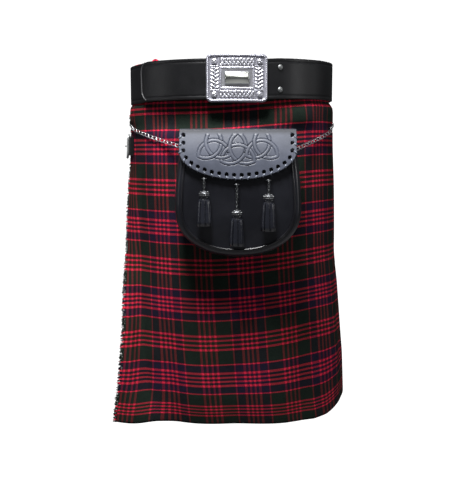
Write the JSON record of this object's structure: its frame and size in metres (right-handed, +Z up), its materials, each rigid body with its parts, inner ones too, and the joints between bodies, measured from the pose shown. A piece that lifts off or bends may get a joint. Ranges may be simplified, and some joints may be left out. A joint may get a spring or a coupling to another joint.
{
  "type": "scottish kilt with belt and sporran",
  "caption": "Pleated wool tartan kilt in its worn shape, open at waist and hem, with a wide leather belt, a plate buckle and a flap pouch with tassels hung on a chain",
  "frame": {"origin": "the middle of the open waist, level with the middle of the belt, where the wearer's waist holds the kilt", "axes": "+Z up along the drop of the cloth, -Y to the wearer's front, where the buckle and the pouch are, and +X to the wearer's left"},
  "size_m": [0.3793, 0.3704, 0.558],
  "materials": {
    "tartan": "twill woven wool in a red, green and navy check",
    "fringe": "cut yarn ends",
    "belt_leather": "smooth black leather with grooved edges",
    "sporran_leather": "smooth black leather, embossed on the flap",
    "thong": "narrow black leather lacing",
    "cast_metal": "polished cast metal",
    "dark_silver": "darkened silver"
  },
  "bodies": {
    "kilt": {"over_apron": "tartan", "under_apron": "tartan", "pleats_left": "tartan", "pleats_back_left": "tartan", "pleats_back_right": "tartan", "pleats_right": "tartan", "waistband": "tartan", "apron_fringe": "fringe", "belt_strap": "belt_leather", "belt_lap": "belt_leather", "hip_strap": "belt_leather", "pouch_back": "sporran_leather", "pouch_gusset": "sporran_leather", "pouch_front": "sporran_leather", "flap": "sporran_leather", "sporran_strap": "sporran_leather", "flap_lacing": "thong", "buckle_plate": "cast_metal", "belt_rivet_upper": "cast_metal", "belt_rivet_lower": "cast_metal", "hip_buckle": "cast_metal", "hip_buckle_prong": "cast_metal", "sporran_chain_left": "cast_metal", "sporran_chain_right": "cast_metal", "sporran_ring_left": "cast_metal", "sporran_ring_right": "cast_metal", "tassel_left_staple": "dark_silver", "tassel_centre_staple": "dark_silver", "tassel_right_staple": "dark_silver"},
    "tassel_left": {"tassel_left_chain": "dark_silver", "tassel_left_cap": "dark_silver", "tassel_left_skirt": "sporran_leather"},
    "tassel_centre": {"tassel_centre_chain": "dark_silver", "tassel_centre_cap": "dark_silver", "tassel_centre_skirt": "sporran_leather"},
    "tassel_right": {"tassel_right_chain": "dark_silver", "tassel_right_cap": "dark_silver", "tassel_right_skirt": "sporran_leather"}
  },
  "joints": [
    {"name": "tassel_left_swing", "type": "hinge", "parent": "kilt", "child": "tassel_left", "pos_m": [-0.0388, -0.198, -0.145], "axis": [-1, 0, 0], "range_deg": [0, 75]},
    {"name": "tassel_centre_swing", "type": "hinge", "parent": "kilt", "child": "tassel_centre", "pos_m": [0.0079, -0.198, -0.1535], "axis": [-1, 0, 0], "range_deg": [0, 75]},
    {"name": "tassel_right_swing", "type": "hinge", "parent": "kilt", "child": "tassel_right", "pos_m": [0.0534, -0.198, -0.1475], "axis": [-1, 0, 0], "range_deg": [0, 75]}
  ]
}
